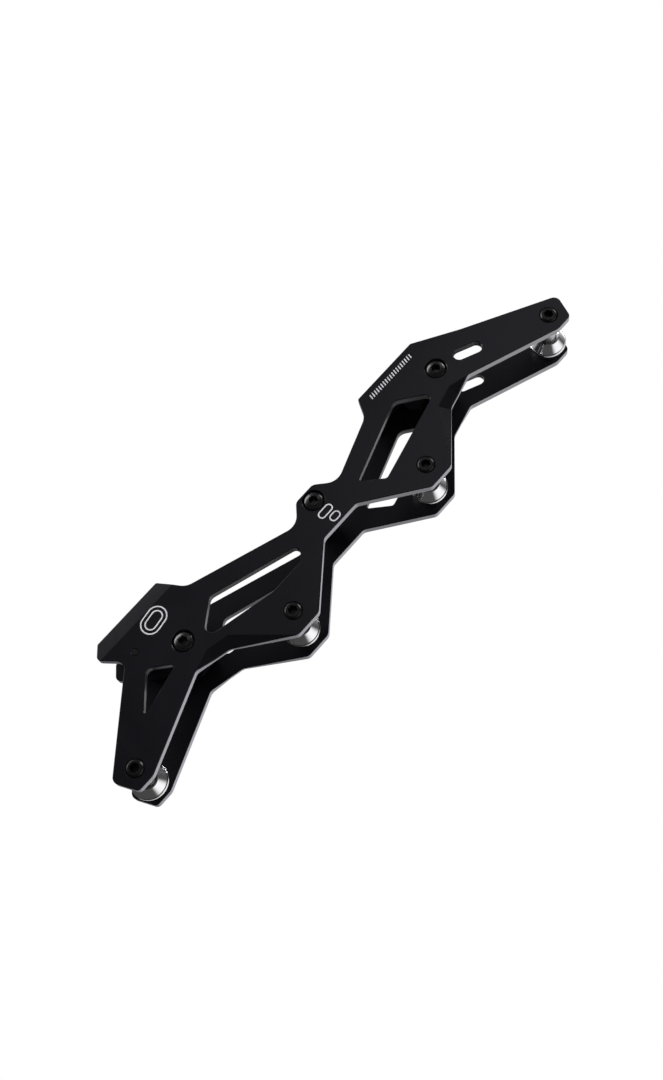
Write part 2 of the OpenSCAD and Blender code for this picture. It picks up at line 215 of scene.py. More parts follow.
class MetalSettings(bpy.types.PropertyGroup):
    """Finish of the bolts, dowels, axles and bearing spacers."""

    bolt_edge_break: FloatProperty(
        name="Bolt edge break", description="Width of the rounding along the bolts' and dowels' edges",
        default=0.16 * MM, min=0.02 * MM, max=0.5 * MM, unit="LENGTH", precision=5)
    axle_edge_break: FloatProperty(
        name="Axle edge break", description="Width of the rounding along the axles' edges",
        default=0.16 * MM, min=0.02 * MM, max=0.5 * MM, unit="LENGTH", precision=5)
    bolt_black: FloatVectorProperty(
        name="Black oxide", description="Colour of the bolts, the dowels and the axles' ends",
        default=(0.0030, 0.0030, 0.0038), min=0, max=1, size=3, subtype="COLOR")
    bolt_worn: FloatVectorProperty(
        name="Worn oxide", description="Colour of the same pieces where the black is thin",
        default=(0.0060, 0.0060, 0.0070), min=0, max=1, size=3, subtype="COLOR")
    steel: FloatVectorProperty(
        name="Steel", description="Colour of the axles' bright shafts",
        default=(0.62, 0.62, 0.64), min=0, max=1, size=3, subtype="COLOR")
    steel_dark: FloatVectorProperty(
        name="Dark steel", description="Colour of the axles' bright shafts in the tool's grooves",
        default=(0.44, 0.44, 0.46), min=0, max=1, size=3, subtype="COLOR")
    axle_bright: FloatProperty(
        name="Bright shaft", description="How far the bright part of an axle reaches from the middle plane",
        default=12.6 * MM, min=5 * MM, max=20 * MM, unit="LENGTH", precision=5)
    silver: FloatVectorProperty(
        name="Turned silver", description="Colour of the bearing spacers",
        default=(0.90, 0.90, 0.91), min=0, max=1, size=3, subtype="COLOR")
    silver_dull: FloatVectorProperty(
        name="Turned silver, duller", description="Colour of the bearing spacers in the tool's grooves",
        default=(0.74, 0.74, 0.76), min=0, max=1, size=3, subtype="COLOR")
    spacer_bore: FloatProperty(
        name="Spacer bore", description="Radius of a bearing spacer's bore",
        default=4.05 * MM, min=3 * MM, max=5 * MM, unit="LENGTH", precision=5)
    spacer_wall: FloatProperty(
        name="Spacer wall", description="Wall of a bearing spacer at its ends",
        default=1.1 * MM, min=0.8 * MM, max=2 * MM, unit="LENGTH", precision=5)
    collar_width: FloatProperty(
        name="Collar width", description="Thickness of a bearing spacer's collar",
        default=1.4 * MM, min=1 * MM, max=4 * MM, unit="LENGTH", precision=5)
    collar_lip: FloatProperty(
        name="Collar lip", description="Width of the flat step between a spacer's cone and its collar's rim",
        default=0.6 * MM, min=0.3 * MM, max=1.2 * MM, unit="LENGTH", precision=5)
    spacer_edge_break: FloatProperty(
        name="Spacer edge break", description="Chamfer on the bearing spacers' edges",
        default=0.2 * MM, min=0.05 * MM, max=0.5 * MM, unit="LENGTH", precision=5)


class PrintSettings(bpy.types.PropertyGroup):
    """White marks printed on the right plate."""

    white: FloatVectorProperty(
        name="Print white", description="Colour of the printed marks",
        default=(0.78, 0.77, 0.80), min=0, max=1, size=3, subtype="COLOR")
    white_thin: FloatVectorProperty(
        name="Thin print", description="Colour of the marks where the ink is thin",
        default=(0.55, 0.54, 0.58), min=0, max=1, size=3, subtype="COLOR")
    film: FloatProperty(
        name="Ink film", description="How far the ink stands off the plate",
        default=0.03 * MM, min=0.01 * MM, max=0.1 * MM, unit="LENGTH", precision=6)
    line: FloatProperty(
        name="Line width", description="Width of the printed lines and strokes",
        default=0.62 * MM, min=0.3 * MM, max=1.5 * MM, unit="LENGTH", precision=5)
    stroke_height: FloatProperty(
        name="Stroke height", description="Height of the strokes on the front flange",
        default=2.4 * MM, min=1 * MM, max=5 * MM, unit="LENGTH", precision=5)
    stroke_pitch: FloatProperty(
        name="Stroke pitch", description="Distance from one stroke to the next",
        default=1.55 * MM, min=0.8 * MM, max=1.6 * MM, unit="LENGTH", precision=5)


class StageSettings(bpy.types.PropertyGroup):
    """Floor, light and camera."""

    floor_size: FloatProperty(
        name="Floor size", description="Side of the square floor",
        default=9.0, min=0.5, max=10, unit="LENGTH")
    floor_fade: FloatProperty(
        name="Floor fade", description="How far from the middle the floor begins to fade into the surround",
        default=0.5, min=0.2, max=3, unit="LENGTH")
    floor_end: FloatProperty(
        name="Floor end", description="How far from the middle the floor has faded into the surround",
        default=2.2, min=0.5, max=5, unit="LENGTH")
    floor_tone: FloatVectorProperty(
        name="Floor colour", description="Colour of the pale floor",
        default=(0.86, 0.86, 0.86), min=0, max=1, size=3, subtype="COLOR")
    sky: FloatProperty(
        name="Surround", description="Brightness of the pale surround",
        default=1.0, min=0, max=3)
    sky_front: FloatProperty(
        name="Dim surround", description="Brightness of the surround away from its bright side",
        default=0.07, min=0, max=1)
    sky_top: FloatProperty(
        name="Overhead", description="Brightness of the surround overhead",
        default=0.6, min=0, max=3)
    sky_way: FloatVectorProperty(
        name="Bright side", description="Where the surround is brightest, as seen from the frame",
        default=(0.35, 0.93, -0.10), size=3, subtype="DIRECTION")
    glow: FloatProperty(
        name="Front glow", description="Brightness of the small glow in the surround ahead of the frame",
        default=12.0, min=0, max=50)
    glow_way: FloatVectorProperty(
        name="Glow side", description="Where the glow is, as seen from the frame",
        default=(0.980, -0.170, 0.100), size=3, subtype="DIRECTION")
    key_power: FloatProperty(
        name="Key light", description="Power of the large soft light over the right plate",
        default=5.9, min=0, max=500, unit="POWER")
    top_power: FloatProperty(
        name="Top light", description="Power of the large soft light overhead",
        default=81.0, min=0, max=500, unit="POWER")
    low_glow: FloatProperty(
        name="Low glow", description="Brightness of the broad glow in the surround under the frame",
        default=1.15, min=0, max=50)
    low_way: FloatVectorProperty(
        name="Low side", description="Where the broad glow is, as seen from the frame",
        default=(0.26, -0.04, -0.965), size=3, subtype="DIRECTION")
    camera_place: FloatVectorProperty(
        name="Camera place", description="Where the camera stands",
        default=(-0.13545, -0.55366, -0.19260), size=3, subtype="XYZ", unit="LENGTH", precision=5)
    camera_turn: FloatVectorProperty(
        name="Camera turn", description="Turn of the camera about X, Y and Z",
        default=(2.131034, 0.832127, 0.203756), size=3, subtype="EULER", precision=5)
    camera_lens: FloatProperty(
        name="Lens", description="Focal length for a 36 mm wide sensor",
        default=43.77, min=10, max=200, unit="CAMERA")


# Modelling helpers


def select_only(*objects):
    """Leave edit mode, then select these objects alone, the first one active."""
    if bpy.context.object and bpy.context.object.mode != "OBJECT":
        bpy.ops.object.mode_set(mode="OBJECT")
    bpy.ops.object.select_all(action="DESELECT")
    for item in objects:
        item.select_set(True)
    if objects:
        bpy.context.view_layer.objects.active = objects[0]


def apply_modifier(piece, kind, **settings):
    """Add a modifier to a piece and apply it at once."""
    select_only(piece)
    modifier = piece.modifiers.new(kind.title(), kind)
    for key, value in settings.items():
        setattr(modifier, key, value)
    bpy.ops.object.modifier_apply(modifier=modifier.name)


def pick_vertices(piece, wanted):
    """In edit mode on a piece, select the vertices whose place passes the test."""
    bpy.ops.object.mode_set(mode="EDIT")
    bpy.ops.mesh.select_mode(type="VERT")
    bpy.ops.mesh.select_all(action="DESELECT")
    bpy.ops.object.mode_set(mode="OBJECT")
    for vertex in piece.data.vertices:
        vertex.select = wanted(vertex.co)
    bpy.ops.object.mode_set(mode="EDIT")


def smooth_shading(piece, turn=CURVE_TURN):
    """Smooth the curved faces and keep the edges crisp."""
    select_only(piece)
    bpy.ops.object.shade_smooth_by_angle(angle=turn)


def crease_flats(piece):
    """Keep the shallow folds between wide faces crisp, so that each face shades as a flat."""
    mesh = piece.data
    sides = {}
    for face in mesh.polygons:
        for key in face.edge_keys:
            sides.setdefault(key, []).append(face)
    for edge in mesh.edges:
        faces = sides[edge.key]
        if len(faces) == 2 and min(face.area for face in faces) > WIDE_FACE:
            if faces[0].normal.angle(faces[1].normal) > FOLD_TURN:
                edge.use_edge_sharp = True


def broken_edges(node, name, width, segments=1):
    """A copy of a CAD node as one closed skin, with its sharp edges broken. It stands for the node.

    The shrinkwrap draws back corners that the bevel pushes out of the solid.
    """
    select_only(frame["nodes"][node])
    bpy.ops.object.duplicate()
    piece = bpy.context.object
    del piece["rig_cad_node"]
    piece.name = piece.data.name = name
    bpy.ops.mesh.customdata_custom_splitnormals_clear()
    bpy.ops.object.mode_set(mode="EDIT")
    bpy.ops.mesh.select_all(action="SELECT")
    bpy.ops.mesh.remove_doubles(threshold=SAME_CORNER)
    bpy.ops.mesh.dissolve_limited(angle_limit=FLAT_TURN)
    bpy.ops.object.mode_set(mode="OBJECT")
    apply_modifier(piece, "BEVEL", width=width, segments=segments, limit_method="ANGLE",
                   angle_limit=EDGE_TURN, use_clamp_overlap=False)
    apply_modifier(piece, "SHRINKWRAP", target=frame["nodes"][node], wrap_method="NEAREST_SURFACEPOINT",
                   wrap_mode="INSIDE")
    smooth_shading(piece)
    crease_flats(piece)
    apply_modifier(piece, "WEIGHTED_NORMAL", mode="FACE_AREA", weight=100, keep_sharp=True)
    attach(piece, frame["nodes"][node]["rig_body"])
    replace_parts(piece, node)
    return piece


def finish_piece(piece, material, slot):
    """Give a piece its material alone, and name the finish it stands for."""
    piece.data.materials.clear()
    piece.data.materials.append(material)
    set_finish(piece, slot)


def middle_of(node):
    """Middle of a CAD node's box."""
    low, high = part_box(node)
    return (low + high) / 2


# Materials


def put(tree, kind, at, settings=None, inputs=None):
    """Place a node in a tree."""
    made = tree.nodes.new(kind)
    made.location = at
    for key, value in (settings or {}).items():
        setattr(made, key, value)
    for key, value in (inputs or {}).items():
        made.inputs[key].default_value = value
    return made


def new_group(name, inputs, outputs):
    """A shader node group with its sockets, and its input and output nodes."""
    tree = bpy.data.node_groups.new(name, "ShaderNodeTree")
    for label, default in inputs:
        socket = tree.interface.new_socket(name=label, in_out="INPUT", socket_type="NodeSocketFloat")
        socket.default_value = default
    for label in outputs:
        tree.interface.new_socket(name=label, in_out="OUTPUT", socket_type="NodeSocketFloat")
    return tree, put(tree, "NodeGroupInput", (-900, 0)), put(tree, "NodeGroupOutput", (700, 0))


def blasted_group():
    """Fine grain of a blasted face, with broad soft clouds from handling."""
    tree, given, out = new_group("Blasted grain", [("Grains", 5000.0), ("Clouds", 22.0)], ["Grain", "Cloud"])
    place = put(tree, "ShaderNodeTexCoord", (-900, -200))
    fine = put(tree, "ShaderNodeTexNoise", (-400, 100), None, {"Detail": 3.0, "Roughness": 0.6})
    broad = put(tree, "ShaderNodeTexNoise", (-400, -200), None,
                {"Detail": 4.0, "Roughness": 0.55, "Distortion": 0.4})
    spread = put(tree, "ShaderNodeMapRange", (-100, -200), {"clamp": True},
                 {"From Min": 0.32, "From Max": 0.68})
    tree.links.new(place.outputs["Object"], fine.inputs["Vector"])
    tree.links.new(place.outputs["Object"], broad.inputs["Vector"])
    tree.links.new(given.outputs["Grains"], fine.inputs["Scale"])
    tree.links.new(given.outputs["Clouds"], broad.inputs["Scale"])
    tree.links.new(broad.outputs[0], spread.inputs["Value"])
    tree.links.new(fine.outputs[0], out.inputs["Grain"])
    tree.links.new(spread.outputs["Result"], out.inputs["Cloud"])
    return tree


def cutter_group():
    """Lines that a cutter leaves along an edge, in layers across the plate."""
    tree, given, out = new_group("Cutter lines", [("Layers", 2600.0), ("Drift", 60.0)], ["Lines"])
    place = put(tree, "ShaderNodeTexCoord", (-900, -200))
    split = put(tree, "ShaderNodeSeparateXYZ", (-700, -200))
    across = put(tree, "ShaderNodeMath", (-500, 0), {"operation": "MULTIPLY"})
    along = put(tree, "ShaderNodeMath", (-500, -180), {"operation": "MULTIPLY"})
    up = put(tree, "ShaderNodeMath", (-500, -360), {"operation": "MULTIPLY"})
    join = put(tree, "ShaderNodeCombineXYZ", (-300, -100))
    noise = put(tree, "ShaderNodeTexNoise", (-100, -100), None,
                {"Scale": 1.0, "Detail": 2.0, "Roughness": 0.6})
    tree.links.new(place.outputs["Object"], split.inputs[0])
    for axis, node, rate in (("Y", across, "Layers"), ("X", along, "Drift"), ("Z", up, "Drift")):
        tree.links.new(split.outputs[axis], node.inputs[0])
        tree.links.new(given.outputs[rate], node.inputs[1])
    tree.links.new(along.outputs[0], join.inputs["X"])
    tree.links.new(across.outputs[0], join.inputs["Y"])
    tree.links.new(up.outputs[0], join.inputs["Z"])
    tree.links.new(join.outputs[0], noise.inputs["Vector"])
    tree.links.new(noise.outputs[0], out.inputs["Lines"])
    return tree


def turned_group():
    """Rings that a lathe tool leaves about an axis along Y."""
    tree, given, out = new_group(
        "Turned rings", [("Rings", TURNED_RINGS), ("Axis X", 0.0), ("Axis Z", 0.0)], ["Rings"])
    place = put(tree, "ShaderNodeTexCoord", (-900, -200))
    split = put(tree, "ShaderNodeSeparateXYZ", (-700, -200))
    off_x = put(tree, "ShaderNodeMath", (-500, 100), {"operation": "SUBTRACT"})
    off_z = put(tree, "ShaderNodeMath", (-500, -100), {"operation": "SUBTRACT"})
    flat = put(tree, "ShaderNodeCombineXYZ", (-300, 0))
    reach = put(tree, "ShaderNodeVectorMath", (-150, 0), {"operation": "LENGTH"})
    path = put(tree, "ShaderNodeMath", (0, -100), {"operation": "ADD"})
    scaled = put(tree, "ShaderNodeMath", (150, -100), {"operation": "MULTIPLY"})
    noise = put(tree, "ShaderNodeTexNoise", (320, -100), {"noise_dimensions": "1D"},
                {"Scale": 1.0, "Detail": 2.0, "Roughness": 0.7})
    tree.links.new(place.outputs["Object"], split.inputs[0])
    tree.links.new(split.outputs["X"], off_x.inputs[0])
    tree.links.new(given.outputs["Axis X"], off_x.inputs[1])
    tree.links.new(split.outputs["Z"], off_z.inputs[0])
    tree.links.new(given.outputs["Axis Z"], off_z.inputs[1])
    tree.links.new(off_x.outputs[0], flat.inputs["X"])
    tree.links.new(off_z.outputs[0], flat.inputs["Z"])
    tree.links.new(flat.outputs[0], reach.inputs[0])
    tree.links.new(reach.outputs["Value"], path.inputs[0])
    tree.links.new(split.outputs["Y"], path.inputs[1])
    tree.links.new(path.outputs[0], scaled.inputs[0])
    tree.links.new(given.outputs["Rings"], scaled.inputs[1])
    tree.links.new(scaled.outputs[0], noise.inputs["W"])
    tree.links.new(noise.outputs[0], out.inputs["Rings"])
    return tree


def off_plane_group():
    """Mask of what lies farther from the frame's middle plane than the reach."""
    tree, given, out = new_group("Off the middle plane", [("Reach", 0.012)], ["Mask"])
    place = put(tree, "ShaderNodeTexCoord", (-900, -200))
    split = put(tree, "ShaderNodeSeparateXYZ", (-700, -200))
    size = put(tree, "ShaderNodeMath", (-500, -200), {"operation": "ABSOLUTE"})
    over = put(tree, "ShaderNodeMath", (-300, -100), {"operation": "SUBTRACT"})
    fade = put(tree, "ShaderNodeMapRange", (-100, -100), {"clamp": True},
               {"From Min": -MASK_BLUR, "From Max": MASK_BLUR})
    tree.links.new(place.outputs["Object"], split.inputs[0])
    tree.links.new(split.outputs["Y"], size.inputs[0])
    tree.links.new(size.outputs[0], over.inputs[0])
    tree.links.new(given.outputs["Reach"], over.inputs[1])
    tree.links.new(over.outputs[0], fade.inputs["Value"])
    tree.links.new(fade.outputs["Result"], out.inputs["Mask"])
    return tree


def shared_group(name, maker):
    """The shader node group of that name, made on its first use."""
    return bpy.data.node_groups.get(name) or maker()


def put_group(tree, name, maker, at, inputs=None):
    """Place a shared node group in a tree, with its own values."""
    return put(tree, "ShaderNodeGroup", at, {"node_tree": shared_group(name, maker)}, inputs)


def new_material(name):
    """An empty node material with its shader wired to its output."""
    material = bpy.data.materials.new(name)
    material.use_nodes = True
    tree = material.node_tree
    tree.nodes.clear()
    shader = put(tree, "ShaderNodeBsdfPrincipled", (700, 0))
    out = put(tree, "ShaderNodeOutputMaterial", (1000, 0))
    tree.links.new(shader.outputs[0], out.inputs[0])
    return material, tree, shader


def blend_colours(tree, at, share, first, second):
    """A colour that goes from the first to the second as the share goes from 0 to 1."""
    mix = put(tree, "ShaderNodeMix", at, {"data_type": "RGBA"})
    for socket, colour in ((6, first), (7, second)):
        if isinstance(colour, bpy.types.NodeSocket):
            tree.links.new(colour, mix.inputs[socket])
        else:
            mix.inputs[socket].default_value = (*colour, 1.0)
    tree.links.new(share, mix.inputs[0])
    return mix.outputs[2]


def between(tree, at, share, low, high):
    """A value that goes from the low to the high one as the share goes from 0 to 1."""
    reach = put(tree, "ShaderNodeMapRange", at, {"clamp": True}, {"To Min": low, "To Max": high})
    tree.links.new(share, reach.inputs["Value"])
    return reach.outputs["Result"]


def blend_values(tree, at, share, first, second):
    """A value that goes from the first socket to the second as the share goes from 0 to 1."""
    mix = put(tree, "ShaderNodeMix", at, {"data_type": "FLOAT"})
    tree.links.new(share, mix.inputs[0])
    tree.links.new(first, mix.inputs[2])
    tree.links.new(second, mix.inputs[3])
    return mix.outputs[0]


def raise_surface(tree, shader, at, height, strength, depth=RELIEF_DEPTH):
    """Bump the shader's surface by a height."""
    bump = put(tree, "ShaderNodeBump", at, None, {"Strength": strength, "Distance": depth})
    tree.links.new(height, bump.inputs["Height"])
    tree.links.new(bump.outputs[0], shader.inputs["Normal"])


def anodised_material(name, look, bare_edges):
    """Blasted black anodising, with bare machined edges where they are asked for."""
    material, tree, shader = new_material(name)
    grain = put_group(tree, "Blasted grain", blasted_group, (-900, 200),
                      {"Grains": look.grain, "Clouds": PLATE_CLOUDS})
    colour = blend_colours(tree, (-300, 300), grain.outputs["Cloud"], look.black, look.charcoal)
    outer_rough = between(tree, (-600, 100), grain.outputs["Cloud"], *OUTER_ROUGH)
    inner_rough = between(tree, (-600, -50), grain.outputs["Cloud"], *INNER_ROUGH)
    outer = put_group(tree, "Off the middle plane", off_plane_group, (-900, 0), {"Reach": look.outer_reach})
    rough = blend_values(tree, (-300, 50), outer.outputs["Mask"], inner_rough, outer_rough)
    metallic = between(tree, (-300, -50), outer.outputs["Mask"], *ANODISED_METALLIC)
    height = grain.outputs["Grain"]
    if bare_edges:
        # The mask is 1 on bare cut edges and lower on the windows' walls, where it darkens the colour as
        # painted shade
        mask = put(tree, "ShaderNodeAttribute", (-900, -400), {"attribute_name": CUT_EDGE_AND_WINDOW_SHADE}).outputs["Fac"]
        lines = put_group(tree, "Cutter lines", cutter_group, (-900, -150)).outputs["Lines"]
        metal = blend_colours(tree, (-300, -150), lines, look.bare_dull, look.bare)
        metal_rough = between(tree, (-300, -400), lines, *BARE_ROUGH)
        colour = blend_colours(tree, (100, 200), mask, colour, metal)
        rough = blend_values(tree, (100, 0), mask, rough, metal_rough)
        height = blend_values(tree, (100, -400), mask, height, lines)
        higher = put(tree, "ShaderNodeMath", (100, -200), {"operation": "MAXIMUM"})
        tree.links.new(mask, higher.inputs[0])
        tree.links.new(metallic, higher.inputs[1])
        metallic = higher.outputs[0]
    tree.links.new(metallic, shader.inputs["Metallic"])
    tree.links.new(colour, shader.inputs["Base Color"])
    tree.links.new(rough, shader.inputs["Roughness"])
    shader.inputs["Specular IOR Level"].default_value = ANODISED_GLOSS
    shader.inputs["Specular Tint"].default_value = ANODISED_TINT
    raise_surface(tree, shader, (400, -300), height, ANODISED_RELIEF)
    return material


def blackened_material(name, look, clouds, rough, gloss):
    """Black oxide on steel, thin and paler in places."""
    material, tree, shader = new_material(name)
    grain = put_group(tree, "Blasted grain", blasted_group, (-700, 0),
                      {"Grains": STEEL_GRAINS, "Clouds": clouds})
    tree.links.new(blend_colours(tree, (-200, 200), grain.outputs["Cloud"], look.bolt_black, look.bolt_worn),
                   shader.inputs["Base Color"])
    tree.links.new(between(tree, (-200, -50), grain.outputs["Cloud"], *rough), shader.inputs["Roughness"])
    shader.inputs["Specular IOR Level"].default_value = gloss
    raise_surface(tree, shader, (300, -250), grain.outputs["Grain"], STEEL_RELIEF)
    return material


def spacer_material(name, node, look):
    """Turned bright metal, with fine rings about the spacer's own axis."""
    material, tree, shader = new_material(name)
    centre = middle_of(node)
    turned = put_group(tree, "Turned rings", turned_group, (-700, 0),
                       {"Axis X": centre.x, "Axis Z": centre.z}).outputs["Rings"]
    tree.links.new(blend_colours(tree, (-200, 200), turned, look.silver_dull, look.silver),
                   shader.inputs["Base Color"])
    tree.links.new(between(tree, (-200, -50), turned, *SPACER_ROUGH), shader.inputs["Roughness"])
    shader.inputs["Metallic"].default_value = 1.0
    raise_surface(tree, shader, (300, -250), turned, SPACER_RELIEF)
    return material


def axle_material(name, node, look):
    """A bright ground shaft with blackened ends."""
    material, tree, shader = new_material(name)
    centre = middle_of(node)
    turned = put_group(tree, "Turned rings", turned_group, (-900, 0),
                       {"Axis X": centre.x, "Axis Z": centre.z}).outputs["Rings"]
    ends = put_group(tree, "Off the middle plane", off_plane_group, (-900, -300),
                     {"Reach": look.axle_bright}).outputs["Mask"]
    shaft = blend_colours(tree, (-400, 200), turned, look.steel_dark, look.steel)
    black = blend_colours(tree, (-400, 0), turned, look.bolt_black, look.bolt_worn)
    tree.links.new(blend_colours(tree, (0, 200), ends, shaft, black), shader.inputs["Base Color"])
    shaft_rough = between(tree, (-400, -200), turned, *SHAFT_ROUGH)
    black_rough = between(tree, (-400, -450), turned, *SHAFT_END_ROUGH)
    tree.links.new(blend_values(tree, (0, -100), ends, shaft_rough, black_rough), shader.inputs["Roughness"])
    tree.links.new(between(tree, (0, -300), ends, *AXLE_METALLIC), shader.inputs["Metallic"])
    shader.inputs["Specular IOR Level"].default_value = SHAFT_GLOSS
    raise_surface(tree, shader, (300, -450), turned, STEEL_RELIEF)
    return material


def ink_material(look):
    """White ink, a little uneven."""
    material, tree, shader = new_material("White print")
    grain = put_group(tree, "Blasted grain", blasted_group, (-700, 0),
                      {"Grains": INK_GRAINS, "Clouds": INK_CLOUDS})
    tree.links.new(blend_colours(tree, (-200, 200), grain.outputs["Cloud"], look.white_thin, look.white),
                   shader.inputs["Base Color"])
    tree.links.new(between(tree, (-200, -50), grain.outputs["Grain"], *INK_ROUGH), shader.inputs["Roughness"])
    raise_surface(tree, shader, (300, -250), grain.outputs["Grain"], INK_RELIEF, INK_DEPTH)
    return material


# Operators


class SKATE_OT_side_plates(bpy.types.Operator):
    """Break the edges of both side plates and give them black faces and bare cut edges"""

    bl_idname = "skate.side_plates"
    bl_label = "Side plates"

    def connected(self, mesh, faces):
        """Groups of these faces that hang together by their corners."""
        around = {}
        for face in faces:
            for corner in mesh.polygons[face].vertices:
                around.setdefault(corner, []).append(face)
        waiting = set(faces)
        while waiting:
            group = [waiting.pop()]
            for face in group:
                for corner in mesh.polygons[face].vertices:
                    found = waiting.intersection(around[corner])
                    waiting -= found
                    group.extend(found)
            yield group

    def mark_cut_edges_and_window_shade(self, piece, look):
        """Mark the faces that the cutter left bare, off the flat and clear of the bores.

        The windows' walls get a lower mark than the outer edge, which keeps them darker than bare metal:
        painted shade.
        """
        mesh = piece.data
        round_pieces = ("_axle", "_bolt", "_dowel")
        bores = [middle_of(node).xz for node in frame["nodes"] if node.endswith(round_pieces)]
        cut = [face.index for face in mesh.polygons if abs(face.normal.y) < look.flat_share
               and all((face.center.xz - bore).length > look.bore_reach for bore in bores)]
        mark = mesh.attributes.new(CUT_EDGE_AND_WINDOW_SHADE, "FLOAT", "FACE")
        for group in self.connected(mesh, cut):
            along = [mesh.polygons[face].center.x for face in group]
            outer = max(along) - min(along) > piece.dimensions.x / 2
            for face in group:
                # Bare metal on the outer edges; the lower mark on the windows' walls is painted shade
                mark.data[face].value = 1.0 if outer else look.window_shade_share

    def execute(self, context):
        look = context.scene.skate_plates
        material = anodised_material("Black anodised plate", look, bare_edges=True)
        for side in SIDES:
            node = f"{side}_side_plate"
            piece = broken_edges(node, f"{side}_plate_machined", look.edge_break)
            self.mark_cut_edges_and_window_shade(piece, look)
            finish_piece(piece, material, "plate")
        return {"FINISHED"}


class SKATE_OT_mount_blocks(bpy.types.Operator):
    """Break the edges of the two mount blocks and the middle spacer, and give them black faces"""

    bl_idname = "skate.mount_blocks"
    bl_label = "Mount blocks and middle spacer"

    def execute(self, context):
        look = context.scene.skate_plates
        material = anodised_material("Black anodised block", look, bare_edges=False)
        for node in ("rear_mount_block", "front_mount_block", "middle_spacer"):
            piece = broken_edges(node, f"{node}_machined", look.block_edge_break)
            finish_piece(piece, material, "block")
        return {"FINISHED"}


class SKATE_OT_bolts(bpy.types.Operator):
    """Round the edges of the six frame bolts and blacken them"""

    bl_idname = "skate.bolts"
    bl_label = "Frame bolts"

    def execute(self, context):
        look = context.scene.skate_metals
        material = blackened_material("Black oxide", look, BOLT_CLOUDS, OXIDE_ROUGH, OXIDE_GLOSS)
        for station in STATIONS:
            for side in SIDES:
                node = f"{station}_{side}_bolt"
                piece = broken_edges(node, f"{node}_rounded", look.bolt_edge_break, segments=2)
                finish_piece(piece, material, "bolt")
        return {"FINISHED"}


class SKATE_OT_dowels(bpy.types.Operator):
    """Round the edges of the four dowels and blacken them"""

    bl_idname = "skate.dowels"
    bl_label = "Dowels"

    def execute(self, context):
        look = context.scene.skate_metals
        material = blackened_material("Blackened dowel", look, DOWEL_CLOUDS, DOWEL_ROUGH, DOWEL_GLOSS)
        for place in ("rear", "front"):
            for side in SIDES:
                node = f"{place}_{side}_dowel"
                piece = broken_edges(node, f"{node}_rounded", look.bolt_edge_break, segments=2)
                finish_piece(piece, material, "dowel")
        return {"FINISHED"}


class SKATE_OT_axles(bpy.types.Operator):
    """Round the edges of the four axles and give them bright shafts with blackened ends"""

    bl_idname = "skate.axles"
    bl_label = "Axles"

    def execute(self, context):
        look = context.scene.skate_metals
        for wheel in WHEELS:
            node = f"{wheel}_axle"
            piece = broken_edges(node, f"{node}_turned", look.axle_edge_break, segments=2)
            material = axle_material(f"Turned steel {wheel}", node, look)
            finish_piece(piece, material, "axle")
        return {"FINISHED"}


class SKATE_OT_bearing_spacers(bpy.types.Operator):
    """Turn one bearing spacer from its profile, copy it to each axle and polish it"""

    bl_idname = "skate.bearing_spacers"
    bl_label = "Bearing spacers"

    def profile(self, look, half_length, collar_radius):
        """Half outline of a spacer, from the bore's middle round to the collar's rim.

        Each point is a radius and a distance along the axis.
        """
        cut = look.spacer_edge_break
        bore = look.spacer_bore
        end = bore + look.spacer_wall
        root = collar_radius - look.collar_lip
        half_collar = look.collar_width / 2
        slope = (root - end) / (half_length - half_collar)
        return [
            (bore, 0.0),
            (bore, half_length - cut),
            (bore + cut, half_length),
            (end - cut, half_length),
            (end + slope * cut, half_length - cut),
            (root - slope * cut / 2, half_collar + cut / 2),
            (root + cut / 2, half_collar),
            (collar_radius - cut, half_collar),
            (collar_radius, half_collar - cut),
            (collar_radius, 0.0),
        ]

    def turn(self, look, node):
        """Spin the profile about the axle, then mirror it to the other half."""
        low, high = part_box(node)
        centre = (low + high) / 2
        outline = self.profile(look, (high.y - low.y) / 2, (high.x - low.x) / 2)
        select_only()
        bpy.ops.mesh.primitive_plane_add(size=MM, location=(0, 0, 0))
        piece = bpy.context.object
        bpy.ops.object.mode_set(mode="EDIT")
        bpy.ops.mesh.select_all(action="SELECT")
        bpy.ops.mesh.merge(type="CENTER")
        last = Vector((0, 0, 0))
        for index, (radius, along) in enumerate(outline):
            place = centre + Vector((radius, along, 0))
            if index == 0:
                bpy.ops.transform.translate(value=place)
            else:
                bpy.ops.mesh.extrude_region_move(TRANSFORM_OT_translate={"value": place - last})
            last = place
        bpy.ops.mesh.select_all(action="SELECT")
        bpy.ops.mesh.spin(steps=SPACER_STEPS, angle=math.tau, center=centre, axis=(0, 1, 0))
        bpy.ops.mesh.select_all(action="SELECT")
        bpy.ops.mesh.remove_doubles(threshold=SPACER_SAME_CORNER)
        bpy.ops.mesh.duplicate()
        bpy.ops.transform.resize(value=(1, -1, 1), center_override=centre)
        bpy.ops.mesh.select_all(action="SELECT")
        bpy.ops.mesh.remove_doubles(threshold=SPACER_SAME_CORNER)
        bpy.ops.mesh.normals_make_consistent(inside=False)
        bpy.ops.object.mode_set(mode="OBJECT")
        smooth_shading(piece, SPACER_CURVE_TURN)
        return piece

    def execute(self, context):
        look = context.scene.skate_metals
        first = middle_of("rear_bearing_spacer")
        pattern = self.turn(look, "rear_bearing_spacer")
        for wheel in WHEELS:
            node = f"{wheel}_bearing_spacer"
            select_only(pattern)
            piece = pattern
            if wheel != WHEELS[0]:
                bpy.ops.object.duplicate()
                piece = bpy.context.object
                bpy.ops.transform.translate(value=middle_of(node) - first)
                bpy.ops.object.transform_apply(location=True, rotation=True, scale=True)
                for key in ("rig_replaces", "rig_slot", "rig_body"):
                    del piece[key]
            piece.name = piece.data.name = f"{node}_turned"
            material = spacer_material(f"Turned silver {wheel}", node, look)
            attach(piece, f"{wheel}_spacer_body")
            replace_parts(piece, node)
            finish_piece(piece, material, "spacer")
        return {"FINISHED"}


